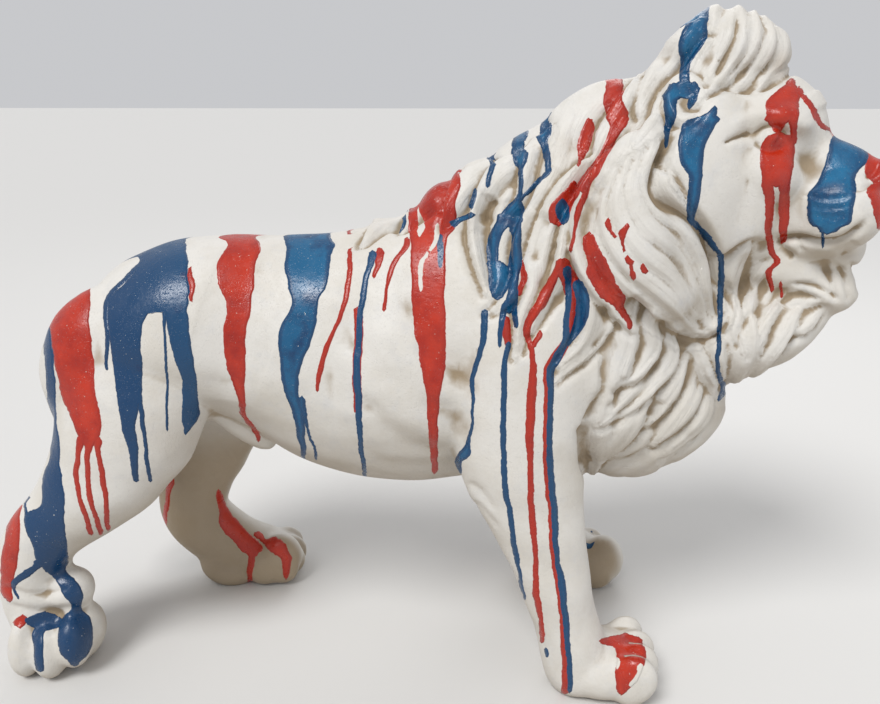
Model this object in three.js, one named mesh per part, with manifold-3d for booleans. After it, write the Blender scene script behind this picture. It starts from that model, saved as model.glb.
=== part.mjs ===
// A walking lion, cast in one piece: trunk, legs, paws, tail, head and mane are one solid.
// +X is the way the lion walks, -Y its right side, and the four paws stand on Z = 0.
import * as THREE from "three";
import { mergeVertices } from "three/addons/utils/BufferGeometryUtils.js";
import Module from "manifold-3d";

const wasm = await Module();
wasm.setup();

// Driving dimensions, in millimetres.
const BACK_HEIGHT = 640; // top of the level back, behind the mane
const CREST_HEIGHT = 948; // top of the tuft over the forehead
const TRACK = 140; // middle line to the middle of a fore paw
const HIND_TRACK = 122; // middle line to the middle of a hind paw
const PAW = 62; // half the width of a paw
const HEAD_PIVOT = [395, 0]; // where the turned head's own axis stands, in X and Y
const HEAD_TURN = -27; // degrees: the head looks towards the lion's right
const CUT_DEPTH = 60; // thickness of the block that planes the soles flat
const BODY_SIDES = 14; // facets round the trunk
const LIMB_SIDES = 10; // facets round a leg
const BALL_SIDES = 10; // facets round a muscle
const TOE_SIDES = 8; // facets round a toe
const LOCK_SIDES = 5; // facets round a lock of the mane

const vector = (x, y, z) => new THREE.Vector3(x, y, z);
const radians = THREE.MathUtils.degToRad;

// ---- Solids -------------------------------------------------------------------------------

// A closed three.js geometry as a solid, its shared vertices merged.
function solid(geometry) {
  const bare = geometry.clone();
  bare.deleteAttribute("normal");
  bare.deleteAttribute("uv");
  const merged = mergeVertices(bare, 1e-3);
  const vertProperties = new Float32Array(merged.attributes.position.array);
  const triVerts = new Uint32Array(merged.index.array);
  return new wasm.Manifold(new wasm.Mesh({ numProp: 3, vertProperties, triVerts }));
}

// Elliptical rings along a smooth path. A station is [x, y, z, depth, width]: a centre, the
// half-size across the path and the half-size sideways.
function loft(stations, steps, sides) {
  const centres = new THREE.CatmullRomCurve3(stations.map(([x, y, z]) => vector(x, y, z)));
  const sizes = new THREE.CatmullRomCurve3(
    stations.map(([, , , depth, width]) => vector(depth, width, 0)),
  );
  const points = [];
  const faces = [];
  for (let step = 0; step <= steps; step += 1) {
    const centre = centres.getPoint(step / steps);
    const size = sizes.getPoint(step / steps);
    const along = centres.getTangent(step / steps);
    const across = vector(0, 1, 0).cross(along).normalize();
    const aside = along.clone().cross(across);
    for (let side = 0; side < sides; side += 1) {
      const angle = (2 * Math.PI * side) / sides;
      const point = centre.clone();
      point.addScaledVector(across, size.x * Math.cos(angle));
      point.addScaledVector(aside, size.y * Math.sin(angle));
      points.push(...point.toArray());
    }
  }
  for (let step = 0; step < steps; step += 1) {
    for (let side = 0; side < sides; side += 1) {
      const a = step * sides + side;
      const b = step * sides + ((side + 1) % sides);
      faces.push(a, b, b + sides, a, b + sides, a + sides);
    }
  }
  const last = steps * sides;
  for (let side = 1; side < sides - 1; side += 1) {
    faces.push(0, side + 1, side);
    faces.push(last, last + side, last + side + 1);
  }
  const geometry = new THREE.BufferGeometry();
  geometry.setAttribute("position", new THREE.Float32BufferAttribute(points, 3));
  geometry.setIndex(faces);
  return geometry;
}

// A round muscle, toe or cheek; the pitch turns it about Y and the yaw about Z, in degrees.
function ball([x, y, z], [rx, ry, rz], pitch = 0, yaw = 0, sides = BALL_SIDES) {
  const geometry = new THREE.SphereGeometry(1, sides, sides / 2 + 1);
  geometry.scale(rx, ry, rz);
  geometry.rotateY(radians(pitch));
  geometry.rotateZ(radians(yaw));
  return geometry.translate(x, y, z);
}

// ---- Trunk --------------------------------------------------------------------------------

// Sections of the trunk from rump to chest: [x, top, bottom, half width].
const TRUNK = [
  [-526, 440, 350, 40],
  [-512, 490, 335, 76],
  [-486, 545, 328, 104],
  [-446, 588, 330, 122],
  [-398, 619, 345, 132],
  [-335, BACK_HEIGHT - 2, 366, 136],
  [-265, BACK_HEIGHT, 372, 130],
  [-195, BACK_HEIGHT - 1, 338, 127],
  [-125, BACK_HEIGHT + 2, 305, 130],
  [-55, 655, 287, 138],
  [15, 668, 285, 147],
  [85, 685, 292, 152],
  [155, 700, 286, 156],
  [225, 706, 276, 154],
  [295, 700, 280, 142],
  [350, 680, 298, 122],
  [395, 640, 335, 98],
  [430, 590, 385, 64],
];

function trunk() {
  const stations = TRUNK.map(([x, top, bottom, width]) => {
    return [x, 0, (top + bottom) / 2, (top - bottom) / 2, width];
  });
  return [
    loft(stations, 18, BODY_SIDES),
    ball([5, 0, 462], [220, 158, 176]),
    ball([318, 0, 430], [138, 122, 148], 24),
    ball([-228, 0, 362], [58, 26, 26], 22),
  ];
}

// ---- Legs ---------------------------------------------------------------------------------

// The four toes of a paw, side by side across its heading, and the pad behind them.
function paw(x, y, heading, reach, size) {
  const ahead = vector(Math.cos(radians(heading)), Math.sin(radians(heading)), 0);
  const aside = vector(-ahead.y, ahead.x, 0);
  const parts = [ball([x, y, 38], [reach, size, 46], 0, heading)];
  for (const place of [-1.5, -0.5, 0.5, 1.5]) {
    const forward = reach * (0.82 - 0.1 * place * place);
    const toe = vector(x, y, 40);
    toe.addScaledVector(ahead, forward);
    toe.addScaledVector(aside, place * size * 0.47);
    parts.push(ball(toe.toArray(), [40, size * 0.33, 43], 12, heading + place * 7, TOE_SIDES));
  }
  return parts;
}

// A foreleg: shoulder, elbow, the straight shank and the wrist. `side` is -1 on the right.
function foreleg(side, shift) {
  const bone = [
    [150, 84, 630, 70, 50],
    [146, 98, 555, 112, 66],
    [142, 108, 470, 112, 70],
    [145, 117, 395, 96, 62],
    [149, 126, 335, 87, 54],
    [168, 131, 280, 69, 49],
    [187, 137, 220, 54, 45],
    [205, TRACK, 150, 48, 44],
    [222, TRACK, 100, 47, 47],
    [240, TRACK, 55, 50, 54],
    [252, TRACK, 20, 52, 56],
  ];
  const stations = bone.map(([x, y, z, depth, width]) => [x + shift, side * y, z, depth, width]);
  return [
    loft(stations, 13, LIMB_SIDES),
    ...paw(272 + shift, side * TRACK, 0, 62, PAW),
  ];
}

// The right hind leg, pushed back: its shank slopes to the hock and its paw is splayed.
function pushingLeg() {
  const bone = [
    [-388, -62, 530, 84, 54],
    [-394, -80, 455, 110, 68],
    [-410, -93, 380, 108, 70],
    [-446, -103, 315, 92, 62],
    [-498, -108, 262, 70, 52],
    [-552, -112, 215, 58, 48],
    [-580, -112, 165, 56, 46],
    [-578, -108, 110, 54, 48],
    [-572, -106, 60, 52, 50],
    [-568, -104, 20, 52, 50],
  ];
  return [
    loft(bone, 13, LIMB_SIDES),
    ...paw(-558, -102, -50, 44, PAW - 2),
  ];
}

// The left hind leg, stepping forward: the hock is low and the shank runs ahead to the paw.
function steppingLeg() {
  const bone = [
    [-345, 60, 530, 96, 56],
    [-345, 80, 445, 116, 70],
    [-348, 95, 365, 102, 68],
    [-360, 102, 285, 78, 54],
    [-385, 110, 215, 60, 47],
    [-412, 114, 158, 58, 45],
    [-398, 117, 108, 56, 46],
    [-352, 120, 66, 52, 48],
    [-300, HIND_TRACK, 46, 46, 52],
    [-262, HIND_TRACK, 42, 40, 54],
  ];
  return [
    loft(bone, 13, LIMB_SIDES),
    ...paw(-292, HIND_TRACK, 6, 52, PAW - 4),
  ];
}

// The tail hangs close behind the rump and ends in a tuft.
function tail() {
  const bone = [
    [-470, 10, 560, 26, 26],
    [-514, 14, 520, 25, 25],
    [-544, 24, 450, 20, 20],
    [-556, 36, 370, 17, 17],
    [-552, 40, 300, 17, 17],
    [-546, 40, 262, 25, 25],
    [-542, 40, 215, 28, 28],
    [-544, 40, 170, 19, 19],
    [-550, 40, 146, 5, 5],
  ];
  return [loft(bone, 11, TOE_SIDES)];
}

// ---- Head ---------------------------------------------------------------------------------

// Drawn looking along +X from its own axis at X = Y = 0, then turned and moved into place.
function head() {
  const pair = (x, y, z, size, pitch) => [
    ball([x, y, z], size, pitch),
    ball([x, -y, z], size, pitch),
  ];
  const bridge = [
    [70, 0, 752, 52, 62],
    [120, 0, 746, 46, 52],
    [165, 0, 738, 42, 44],
    [200, 0, 730, 32, 38],
    [218, 0, 724, 18, 26],
  ];
  const jaw = [
    [-10, 0, 640, 62, 84],
    [60, 0, 628, 52, 74],
    [120, 0, 612, 40, 58],
    [172, 0, 602, 36, 44],
    [196, 0, 598, 22, 26],
  ];
  const parts = [
    ball([38, 0, 784], [108, 100, 86]),
    loft(bridge, 8, LIMB_SIDES),
    loft(jaw, 8, LIMB_SIDES),
    ball([206, 0, 738], [20, 34, 20]),
    ball([166, 0, 590], [42, 46, 34]),
    ball([112, 0, 660], [84, 62, 52]),
    ...pair(166, 34, 694, [58, 46, 56], 0),
    ...pair(44, 58, 706, [78, 52, 88], 0),
  ];
  return parts.map((part) => {
    part.rotateZ(radians(HEAD_TURN));
    return part.translate(...HEAD_PIVOT, 0);
  });
}

// ---- Mane ---------------------------------------------------------------------------------

// The thick neck under the locks, from the shoulders up to the crest.
const NECK = [
  [185, 0, 500, 232, 146],
  [240, 0, 585, 208, 154],
  [300, -4, 665, 178, 150],
  [345, -12, 740, 140, 138],
  [368, -16, 800, 98, 112],
  [380, -18, 846, 62, 80],
  [388, -18, 880, 32, 44],
];

// A point on the neck: `height` runs 0 to 1 up it, and `turn` goes round it in degrees, from 0
// on the throat to 180 on the crest; a negative turn is the right side.
function onNeck(height, turn, lift) {
  const centres = new THREE.CatmullRomCurve3(NECK.map(([x, y, z]) => vector(x, y, z)));
  const sizes = new THREE.CatmullRomCurve3(NECK.map(([, , , d, w]) => vector(d, w, 0)));
  const size = sizes.getPoint(height);
  const across = vector(0, 1, 0).cross(centres.getTangent(height)).normalize();
  const point = centres.getPoint(height);
  point.addScaledVector(across, (size.x + lift) * Math.cos(radians(turn)));
  point.y += (size.y + lift) * Math.sin(radians(turn));
  return point;
}

// A tapered lock through the given points: thickest a third of the way down, pointed at the end.
function lock(points, width, thickness) {
  const stations = points.map((point, index) => {
    const way = index / (points.length - 1);
    const swell = 0.3 + 0.7 * Math.sin(Math.PI * Math.min(1, 0.28 + 0.7 * way));
    return [point.x, point.y, point.z, width * swell, thickness * swell];
  });
  return loft(stations, 5, LOCK_SIDES);
}

const between = (a, b, way) => a.map((value, axis) => value + (b[axis] - value) * way);

// A row of locks on both sides of the neck. The first flows from `from[0]` to `to[0]` and the
// last from `from[1]` to `to[1]`, each [height, turn], and they wave sideways on the way.
function lockRow(count, from, to, width, wave) {
  const locks = [];
  for (const side of [-1, 1]) {
    for (let index = 0; index < count; index += 1) {
      const start = between(...from, index / (count - 1));
      const end = between(...to, index / (count - 1));
      const points = [];
      for (let step = 0; step <= 4; step += 1) {
        const way = step / 4;
        const [height, turn] = between(start, end, way);
        const swing = turn + wave * Math.sin(2 * Math.PI * way);
        points.push(onNeck(height, side * swing, 6 * Math.sin(Math.PI * way)));
      }
      locks.push(lock(points, width, width * 0.5));
    }
  }
  return locks;
}

// The chest locks hang from the throat to the elbows, each [x, y, z] on the left side.
function chestLocks(count) {
  const locks = [];
  for (const side of [-1, 1]) {
    for (let index = 0; index < count; index += 1) {
      const way = index / (count - 1);
      const top = between([452, 22, 560], [250, 150, 520], way);
      const middle = between([452, 26, 455], [236, 158, 415], way);
      const low = between([400, 24, 345], [228, 128, 330], way);
      const tip = between([345, 20, 284], [236, 96, 288], way);
      const points = [top, middle, low, tip].map(([x, y, z]) => vector(x, side * y, z));
      locks.push(lock(points, 30, 24));
    }
  }
  return locks;
}

// The waves of the forelock, swept up off the brow and back over the crest.
function forelock() {
  const waves = [
    [[440, 850, 24], [464, 880, 20], [450, 906, 24], [416, 906, 34], [368, 880, 38], [322, 828, 26]],
    [[420, 862, 34], [420, 900, 34], [394, 914, 32], [350, 888, 38], [306, 838, 36], [262, 774, 18]],
  ];
  return waves.flatMap((wave) => {
    return [-40, 6].map((y) => loft(wave.map(([x, z, r]) => [x, y, z, r, r]), 7, LOCK_SIDES + 1));
  });
}

// The great lock behind each cheek, and the throat under the beard.
function ruff() {
  const curl = [
    [296, 116, 800, 24, 20],
    [268, 138, 735, 44, 26],
    [262, 150, 660, 56, 30],
    [300, 146, 592, 46, 28],
    [362, 128, 552, 12, 10],
  ];
  const throat = [
    [330, 0, 520, 90, 110],
    [400, -20, 540, 74, 98],
    [470, -48, 560, 52, 74],
    [520, -64, 572, 34, 46],
  ];
  const curls = [-1, 1].map((side) => {
    return loft(curl.map(([x, y, z, d, w]) => [x, side * y, z, d, w]), 9, LIMB_SIDES);
  });
  return [...curls, loft(throat, 6, LIMB_SIDES)];
}

function mane() {
  return [
    loft(NECK, 9, BODY_SIDES),
    ...lockRow(4, [[0.84, 114], [0.6, 164]], [[0.34, 110], [0.12, 158]], 32, 7),
    ...lockRow(3, [[0.5, 104], [0.26, 150]], [[0.03, 102], [0, 150]], 32, 7),
    ...chestLocks(5),
    ...forelock(),
    ...ruff(),
  ];
}

// ---- The whole lion -----------------------------------------------------------------------

function lion() {
  const shapes = [
    ...trunk(),
    ...foreleg(-1, 0),
    ...foreleg(1, -17),
    ...pushingLeg(),
    ...steppingLeg(),
    ...tail(),
    ...head(),
    ...mane(),
  ];
  const whole = shapes.map(solid).reduce((sum, part) => sum.add(part));
  const block = new THREE.BoxGeometry(2 * CREST_HEIGHT, CREST_HEIGHT, CUT_DEPTH);
  const cut = whole.subtract(solid(block.translate(0, 0, -CUT_DEPTH / 2)));
  const [outside] = cut.decompose().sort((a, b) => b.volume() - a.volume());
  const { vertProperties, triVerts } = outside.getMesh();
  const geometry = new THREE.BufferGeometry();
  geometry.setAttribute("position", new THREE.BufferAttribute(vertProperties, 3));
  geometry.setIndex(new THREE.BufferAttribute(triVerts, 1));
  geometry.computeBoundingBox();
  const middle = geometry.boundingBox.getCenter(vector(0, 0, 0));
  return geometry.translate(-middle.x, -middle.y, 0);
}

const paint = new THREE.MeshStandardMaterial({ color: 0xe4ded2, roughness: 0.6, metalness: 0 });
const body = new THREE.Mesh(lion(), paint);
body.name = "lion";

const model = new THREE.Group();
model.add(body);

export default model;
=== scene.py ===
# %% [markdown]
# # A cast lion with poured paint
# The real lion is one hollow casting of sand-filled resin. A sculptor first modelled it in
# clay over rough masses, then carved the locks, and the cast was brushed white and had red
# and blue paint poured over its back. This lesson goes the same way: masses, then carving,
# then paint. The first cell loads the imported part, which fixes the size and the place.

import math

import bpy
import numpy as np
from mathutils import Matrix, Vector
from mathutils.bvhtree import BVHTree


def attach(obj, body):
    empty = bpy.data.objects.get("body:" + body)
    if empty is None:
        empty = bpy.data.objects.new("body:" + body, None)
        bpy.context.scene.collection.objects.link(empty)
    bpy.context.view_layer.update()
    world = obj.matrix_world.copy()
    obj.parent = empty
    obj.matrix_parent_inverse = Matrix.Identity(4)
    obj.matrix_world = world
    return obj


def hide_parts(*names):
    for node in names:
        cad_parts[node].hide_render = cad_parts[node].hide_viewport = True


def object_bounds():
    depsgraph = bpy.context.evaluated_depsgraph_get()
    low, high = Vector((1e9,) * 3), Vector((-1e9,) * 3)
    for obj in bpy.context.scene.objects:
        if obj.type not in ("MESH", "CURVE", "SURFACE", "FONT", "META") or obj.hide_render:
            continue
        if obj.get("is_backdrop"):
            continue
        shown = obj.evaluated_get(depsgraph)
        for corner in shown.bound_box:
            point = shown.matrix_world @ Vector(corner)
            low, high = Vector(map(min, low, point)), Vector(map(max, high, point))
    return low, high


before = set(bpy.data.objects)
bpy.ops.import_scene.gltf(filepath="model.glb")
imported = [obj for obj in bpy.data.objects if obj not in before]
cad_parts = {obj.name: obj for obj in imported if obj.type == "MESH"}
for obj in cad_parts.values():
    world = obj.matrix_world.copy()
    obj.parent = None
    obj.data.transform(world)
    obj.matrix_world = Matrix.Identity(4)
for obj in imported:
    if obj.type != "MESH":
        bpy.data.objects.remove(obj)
cad_low, cad_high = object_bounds()
print("box of the packed part, in metres:", [round(v, 3) for v in (*cad_low, *cad_high)])

# %% [markdown]
# A sculptor works from a drawing with its own zero. Here it is in millimetres: X runs towards
# the head from a line above the middle of the belly, Y towards the lion's left from its
# middle line, and Z up from the ground. The heel of the pushed-back leg is 637 mm behind that
# zero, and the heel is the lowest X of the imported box, so one number ties the two together.

# %% The drawing's millimetres
MM = 0.001
HEEL = 637
middle_y = (cad_low[1] + cad_high[1]) / 2


def at(x, y, z):
    return Vector((cad_low[0] + (x + HEEL) * MM, middle_y + y * MM, cad_low[2] + z * MM))


print("the drawing's zero is at", [round(v, 3) for v in at(0, 0, 0)])

# %% [markdown]
# The camera stands about a metre off the lion's right side, at the height of its crest, and
# looks slightly down. It is made early, because the side drawing, which the carving and the
# paint follow, is seen from the same spot.

# %% Camera
VIEW_FROM = at(77, -1124, 845)
camera_data = bpy.data.cameras.new("camera")
camera_data.sensor_width = 36
camera_data.lens = 32.7
camera = bpy.data.objects.new("camera", camera_data)
camera.location = VIEW_FROM
camera.rotation_euler = (math.radians(90 - 18.5), 0, math.radians(2.35))
bpy.context.collection.objects.link(camera)
bpy.context.scene.camera = camera
print("camera", round((VIEW_FROM - at(77, -150, 500)).length, 2), "m from the flank")

# %% [markdown]
# ## Masses
# Clay is first built up in masses: a barrel for the trunk, tapering limbs, balls for muscles
# and toes. A mass is drawn as a ring, and the ring is pulled from each station to the next,
# sized and leaned as it goes. A lean of 0 faces the ring along X and -90 faces it down.


# %% Rings and balls
def only(piece):
    bpy.ops.object.select_all(action="DESELECT")
    piece.select_set(True)
    bpy.context.view_layer.objects.active = piece


def finish_mass(masses):
    piece = bpy.context.object
    piece.data.transform(piece.matrix_world)
    piece.matrix_world.identity()
    masses.append(piece)
    return piece


def pull_ring(masses, stations, sides=20):
    bpy.ops.object.select_all(action="DESELECT")
    x, y, z, depth, width, lean = stations[0]
    bpy.ops.mesh.primitive_circle_add(
        vertices=sides, radius=MM, fill_type="NGON", location=at(x, y, z),
        rotation=(0, math.radians(90 - lean), 0),
    )
    piece = finish_mass(masses)
    bpy.ops.object.mode_set(mode="EDIT")
    bpy.ops.mesh.select_all(action="SELECT")
    bpy.ops.transform.resize(value=(depth, width, depth), center_override=at(x, y, z))
    for before, after in zip(stations, stations[1:]):
        step = at(*after[:3]) - at(*before[:3])
        centre = at(*after[:3])
        deeper, wider = after[3] / before[3], after[4] / before[4]
        bpy.ops.mesh.extrude_region_move(TRANSFORM_OT_translate={"value": step})
        bpy.ops.transform.resize(value=(deeper, wider, deeper), center_override=centre)
        turn = math.radians(after[5] - before[5])
        bpy.ops.transform.rotate(value=turn, orient_axis="Y", center_override=centre)
    bpy.ops.mesh.select_all(action="SELECT")
    bpy.ops.mesh.normals_make_consistent(inside=False)
    bpy.ops.object.mode_set(mode="OBJECT")
    rounding = piece.modifiers.new("rounding", "SUBSURF")
    rounding.levels = rounding.render_levels = 2
    bpy.ops.object.modifier_apply(modifier=rounding.name)
    return piece


def ball(masses, centre, radii, pitch=0, yaw=0):
    bpy.ops.object.select_all(action="DESELECT")
    bpy.ops.mesh.primitive_uv_sphere_add(
        segments=24, ring_count=14, radius=MM, location=at(*centre), scale=radii,
        rotation=(0, math.radians(pitch), math.radians(yaw)),
    )
    return finish_mass(masses)


# %% Trunk
# x, top, bottom, half width
TRUNK = [
    (-528, 436, 352, 34), (-514, 492, 332, 76), (-488, 548, 326, 104), (-446, 590, 330, 124),
    (-396, 622, 354, 134), (-335, 640, 382, 138), (-265, 642, 374, 132), (-195, 641, 308, 128),
    (-125, 643, 276, 131), (-55, 660, 264, 139), (15, 684, 269, 148), (85, 704, 283, 153),
    (155, 712, 286, 157), (225, 712, 276, 155), (295, 702, 280, 143), (350, 682, 298, 123),
    (395, 642, 335, 99), (430, 592, 385, 64),
]
# the fold of skin under the belly, which tapers forward
FLAP = [
    (-330, -60, 420, 20, 24, -30), (-284, -44, 390, 26, 28, -38), (-256, -30, 354, 24, 24, -40),
    (-236, -22, 330, 17, 17, -34), (-220, -18, 318, 8, 9, -30),
]
body = []
pull_ring(body, [(x, 0, (t + b) / 2, (t - b) / 2, w, 0) for x, t, b, w in TRUNK], 28)
ball(body, (5, 0, 462), (215, 157, 174))
ball(body, (318, 0, 430), (138, 122, 148), 24)
for side in (-1, 1):
    ball(body, (-448, side * 58, 452), (90, 74, 128), 8)
pull_ring(body, FLAP, 12)
print("trunk of", len(body), "masses")

# %% Legs
FORELEG = [
    (150, 84, 630, 72, 52, -90), (146, 98, 555, 112, 66, -90), (142, 108, 470, 113, 71, -90),
    (145, 117, 395, 97, 63, -88), (149, 126, 335, 88, 55, -84), (168, 131, 280, 70, 50, -78),
    (187, 137, 220, 56, 46, -76), (205, 140, 150, 49, 45, -76), (222, 140, 100, 48, 48, -76),
    (236, 140, 55, 51, 52, -76), (248, 140, -8, 51, 52, -80),
]
PUSHING = [
    (-388, -62, 530, 86, 56, -90), (-394, -80, 455, 112, 69, -92), (-410, -93, 380, 108, 71, -104),
    (-446, -103, 315, 88, 62, -128), (-498, -108, 262, 62, 52, -136), (-552, -112, 215, 54, 49, -128),
    (-582, -112, 165, 54, 47, -98), (-578, -108, 110, 54, 48, -84), (-572, -106, 60, 52, 50, -82),
    (-566, -104, -8, 50, 50, -82),
]
STEPPING = [
    (-345, 60, 530, 98, 58, -90), (-345, 80, 445, 118, 71, -90), (-348, 95, 365, 104, 69, -92),
    (-360, 102, 285, 80, 55, -100), (-385, 110, 215, 60, 48, -112), (-418, 114, 150, 64, 46, -92),
    (-398, 117, 100, 66, 47, -56), (-352, 120, 62, 58, 48, -36), (-300, 122, 50, 44, 50, -14),
    (-262, 122, 44, 40, 52, -4),
]
for side, back in ((-1, 0), (1, 17)):
    pull_ring(body, [(x - back, side * y, z, d, w, a) for x, y, z, d, w, a in FORELEG])
pull_ring(body, PUSHING)
pull_ring(body, STEPPING)
print("legs bring it to", len(body), "masses")

# %% [markdown]
# A paw is a flat pad with four plump toes fanned round its front, set so that a crease is left
# between neighbours. The hind paw that is pushed back turns outwards, and its toes are placed
# one by one.


# %% Paws and tail
def paw(masses, x, y, heading, reach, size, rise=42):
    ahead = Vector((math.cos(math.radians(heading)), math.sin(math.radians(heading)), 0))
    aside = Vector((-ahead.y, ahead.x, 0))
    ball(masses, (x, y, 38), (reach + 4, size - 2, 46), 0, heading)
    for place in (-1.5, -0.5, 0.5, 1.5):
        toe = Vector((x, y, rise)) + ahead * reach * (0.82 - 0.08 * place * place)
        toe += aside * place * size * 0.48
        ball(masses, toe, (35, size * 0.29, rise), 12, heading + place * 8)


# middle and half sizes of the splayed hind toes, outermost first
SPLAYED_TOES = [
    ((-584, -156, 46), (22, 30, 48)), ((-545, -158, 42), (23, 30, 44)),
    ((-510, -148, 56), (24, 32, 44)), ((-498, -120, 64), (19, 28, 38)),
]
TAIL = [
    (-440, 14, 520, 24, 24, -150), (-492, 18, 490, 24, 24, -138), (-530, 26, 440, 21, 21, -112),
    (-544, 34, 375, 18, 18, -95), (-546, 38, 310, 17, 17, -88), (-542, 40, 262, 25, 25, -88),
    (-540, 40, 215, 28, 28, -90), (-542, 40, 170, 19, 19, -96), (-548, 40, 148, 5, 5, -100),
]
FORE_PAW_X, FORE_TRACK = 272, 140
paw(body, FORE_PAW_X, -FORE_TRACK, 0, 62, 62)
paw(body, FORE_PAW_X - 17, FORE_TRACK, 0, 62, 62, 34)
ball(body, (-541, -112, 46), (59, 52, 54))
for centre, radii in SPLAYED_TOES:
    ball(body, centre, radii)
ball(body, (-520, -120, 124), (36, 34, 34))
ball(body, (-350, 108, 26), (56, 46, 34), 12)
paw(body, -292, 122, 6, 52, 58, 34)
ball(body, (-255, 94, 54), (38, 28, 44))
ball(body, (-284, 80, 34), (34, 18, 34))
ball(body, (316, 116, 50), (34, 32, 44))
pull_ring(body, TAIL, 12)
print("paws and tail bring it to", len(body), "masses")

# %% [markdown]
# ## Head and neck
# The head is modelled looking straight ahead, and then turned 27 degrees to the lion's right
# about an upright line through the back of the skull, as an armature would be bent.

# %% Head masses
HEAD_X = 395
HEAD_TURN = math.radians(-27)


def head_pair(masses, s, t, z, radii, pitch=0, yaw=0):
    ball(masses, (HEAD_X + s, -t, z), radii, pitch, yaw)
    ball(masses, (HEAD_X + s, t, z), radii, pitch, -yaw)


head = []
BRIDGE = [(70, 752, 54, 62, 0), (125, 748, 42, 50, -4), (168, 739, 38, 44, -12), (204, 728, 28, 37, -20)]
JAW = [(-20, 646, 62, 84, -6), (60, 632, 50, 72, -8), (120, 614, 40, 56, -8), (172, 602, 34, 42, 0)]
for stations in (BRIDGE, JAW):
    pull_ring(head, [(HEAD_X + s, 0, z, d, w, a) for s, z, d, w, a in stations])
ball(head, (HEAD_X + 38, 0, 784), (108, 98, 86))
ball(head, (HEAD_X + 208, 0, 739), (20, 35, 20))
ball(head, (HEAD_X + 166, 0, 590), (41, 44, 34))
ball(head, (HEAD_X + 110, 0, 664), (80, 62, 50))
ball(head, (HEAD_X + 176, 0, 648), (32, 34, 36))
head_pair(head, 166, 35, 695, (55, 45, 54))
head_pair(head, 100, 50, 808, (36, 36, 18), 24)
head_pair(head, 72, 72, 744, (60, 34, 38), 18, 12)
head_pair(head, 30, 70, 698, (74, 46, 84))
head_pair(head, -4, 72, 772, (70, 46, 100))
head_pair(head, 106, 42, 706, (46, 30, 56))
only(head[0])
for mass in head:
    mass.select_set(True)
bpy.ops.object.join()
bpy.ops.object.mode_set(mode="EDIT")
bpy.ops.mesh.select_all(action="SELECT")
bpy.ops.transform.rotate(value=-HEAD_TURN, orient_axis="Z", center_override=at(HEAD_X, 0, 0))
bpy.ops.object.mode_set(mode="OBJECT")
head = bpy.context.object
body.append(head)
print("head of", len(head.data.vertices), "points")

# %% Middle of a turned neck
PIVOT = np.array(at(HEAD_X, 0, 0)[:2])


def ease(value, low, high):
    t = np.clip((value - low) / (high - low), 0, 1)
    return t * t * (3 - 2 * t)


def fold(points, normals):
    """How far each point is to the lion's right of its own middle, and its twin on that side."""
    away = (points[:, :2] - PIVOT) / MM
    ahead = np.array([math.cos(HEAD_TURN), math.sin(HEAD_TURN)])
    turn = HEAD_TURN * ease(away @ ahead, -230, -20)
    in_front = np.where(away[:, 0] > 50, away[:, 0], np.clip(away[:, 0] + 50, 0, 100) ** 2 / 200)
    signed = (in_front * np.sin(turn) - away[:, 1] * np.cos(turn)) * MM
    right = np.stack([np.sin(turn), -np.cos(turn)], 1)
    far = signed < 0
    twin, facing = points.copy(), normals.copy()
    twin[far, :2] -= 2 * signed[far, None] * right[far]
    sideways = (normals[:, :2] * right).sum(1)
    facing[far, :2] -= 2 * sideways[far, None] * right[far]
    return signed, twin, facing


# %% Neck and the masses of the mane
NECK = [
    (185, 0, 500, 232, 146, 57), (240, 0, 585, 208, 154, 55), (300, -4, 665, 178, 150, 57),
    (345, -12, 740, 140, 138, 64), (368, -16, 800, 98, 112, 72), (380, -18, 846, 62, 80, 76),
    (388, -18, 880, 32, 44, 77),
]
THROAT = [
    (330, 0, 500, 110, 116, 10), (400, -20, 512, 92, 102, 16), (465, -46, 528, 72, 78, 22),
    (518, -64, 554, 46, 52, 22), (552, -74, 572, 22, 26, 20),
]
CURL = [
    (298, -112, 806, 22, 18, -113), (268, -138, 735, 44, 26, -100), (260, -150, 660, 56, 30, -80),
    (300, -146, 592, 46, 28, -48), (356, -130, 562, 28, 16, -32),
]
CREST = [
    (10, 0, 618, 70, 84, 18), (84, 0, 666, 70, 90, 30), (150, 0, 712, 66, 86, 34),
    (215, 0, 756, 62, 82, 36), (272, -4, 806, 62, 76, 36), (322, -11, 812, 50, 68, 28),
    (392, -20, 878, 54, 60, 20),
]
pull_ring(body, NECK, 28)
pull_ring(body, THROAT)
pull_ring(body, CURL)
pull_ring(body, [(x, -y, z, depth, width, lean) for x, y, z, depth, width, lean in CURL])
pull_ring(body, CREST)
ball(body, (394, -20, 882), (80, 60, 62))
print("neck and mane bring it to", len(body), "masses")

# %% [markdown]
# ## One skin
# The masses still cut through each other. A sculptor would work the joints over with wet clay.
# Here a voxel remesh throws away all that is inside and leaves one closed skin, and a smooth
# modifier blends the joints.

# %% Remesh the masses
def remesh(piece, voxel):
    only(piece)
    skin = piece.modifiers.new("skin", "REMESH")
    skin.mode = "VOXEL"
    skin.voxel_size = voxel * MM
    bpy.ops.object.modifier_apply(modifier=skin.name)


def soften(piece, repeat, factor=0.5):
    only(piece)
    hand = piece.modifiers.new("hand", "SMOOTH")
    hand.factor = factor
    hand.iterations = repeat
    bpy.ops.object.modifier_apply(modifier=hand.name)


only(body[0])
for mass in body:
    mass.select_set(True)
bpy.ops.object.join()
lion = bpy.context.object
lion.name = "lion_cast"
remesh(lion, 5)
soften(lion, 10)
remesh(lion, 3)
soften(lion, 3)
print("one skin of", len(lion.data.vertices), "points")

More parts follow.
